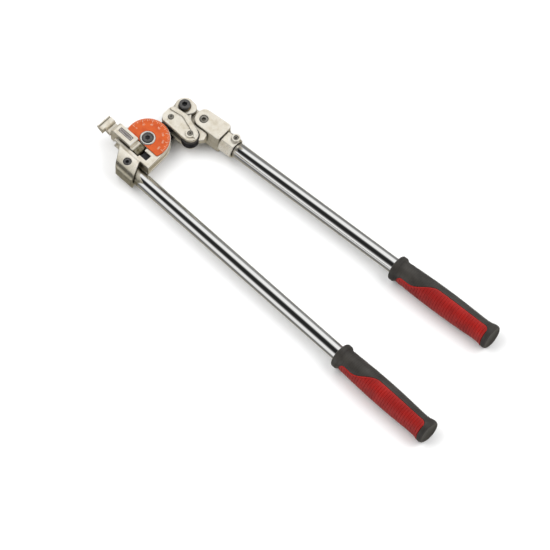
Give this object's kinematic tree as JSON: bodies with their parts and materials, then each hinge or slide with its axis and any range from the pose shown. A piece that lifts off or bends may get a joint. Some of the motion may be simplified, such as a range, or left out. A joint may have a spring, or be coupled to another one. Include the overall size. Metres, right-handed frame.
{
  "type": "manual tube bender",
  "caption": "Lever tube bender: grooved form with degree dial and flip-up tube latch, roller shoe on a rear link, and two long tubular handles with two-colour grips.",
  "frame": {"origin": "on the bending axis, on the flat rear face of the centre pivot nut", "axes": "+X along the form handle towards its grip, +Y from the bending axis to the shoe at the 90 degree bend, +Z out of the dial"},
  "size_m": [0.522, 0.1613, 0.033],
  "materials": {
    "nickel_casting": "satin nickel plate over a fine cast surface",
    "chrome_tube": "polished chrome",
    "bright_steel": "turned, bright",
    "black_oxide": "black oxide, satin",
    "dial_enamel": "orange-red enamel, satin",
    "label_strip": "dark recessed strip, matte",
    "bronze": "oiled bronze",
    "black_rubber": "moulded charcoal rubber",
    "red_rubber": "moulded red rubber"
  },
  "bodies": {
    "form": {"form_casting": "nickel_casting", "degree_dial": "dial_enamel", "centre_pivot_bush": "bright_steel", "centre_pivot_screw": "black_oxide", "centre_pivot_nut": "black_oxide", "centre_thrust_washer": "bright_steel", "latch_hinge_pin": "bright_steel", "latch_bumper": "black_rubber", "form_handle_tube": "chrome_tube", "form_handle_screw": "black_oxide", "form_grip_sleeve": "black_rubber", "form_grip_inlay": "red_rubber"},
    "latch": {"tube_latch": "nickel_casting", "latch_label_plate": "label_strip"},
    "link": {"rear_link": "black_oxide", "shoe_pivot_screw": "black_oxide", "shoe_pivot_nut": "black_oxide", "shoe_thrust_washer": "bright_steel"},
    "shoe": {"shoe_body": "nickel_casting", "shoe_front_plate": "nickel_casting", "shoe_pivot_bush": "bronze", "yoke_pivot_bush": "bronze", "inner_roller_pin": "bright_steel", "outer_roller_pin": "bright_steel"},
    "roller_in": {"inner_roller": "black_oxide"},
    "roller_out": {"outer_roller": "black_oxide"},
    "bend_handle": {"handle_yoke": "nickel_casting", "yoke_pivot_screw": "black_oxide", "collar_set_screw": "black_oxide", "bend_handle_tube": "chrome_tube", "bend_grip_sleeve": "black_rubber", "bend_grip_inlay": "red_rubber"}
  },
  "joints": [
    {"name": "latch_lift", "type": "hinge", "parent": "form", "child": "latch", "pos_m": [0.003, -0.019, 0.0235], "axis": [0, 1, 0], "range_deg": [0, 110]},
    {"name": "link_swing", "type": "hinge", "parent": "form", "child": "link", "pos_m": [0, 0, 0], "axis": [0, 0, 1], "range_deg": [-10, 90]},
    {"name": "shoe_swing", "type": "hinge", "parent": "link", "child": "shoe", "pos_m": [0, 0.0575, 0.018], "axis": [0, 0, 1], "range_deg": [0, 30]},
    {"name": "inner_roller_spin", "type": "hinge", "parent": "shoe", "child": "roller_in", "pos_m": [0, 0.036, 0.0195], "axis": [0, 0, 1], "continuous": true},
    {"name": "outer_roller_spin", "type": "hinge", "parent": "shoe", "child": "roller_out", "pos_m": [0.03, 0.036, 0.0195], "axis": [0, 0, 1], "continuous": true},
    {"name": "handle_stage", "type": "hinge", "parent": "shoe", "child": "bend_handle", "pos_m": [0.027, 0.0603, 0.015], "axis": [0, 0, 1], "range_deg": [0, 90]}
  ]
}
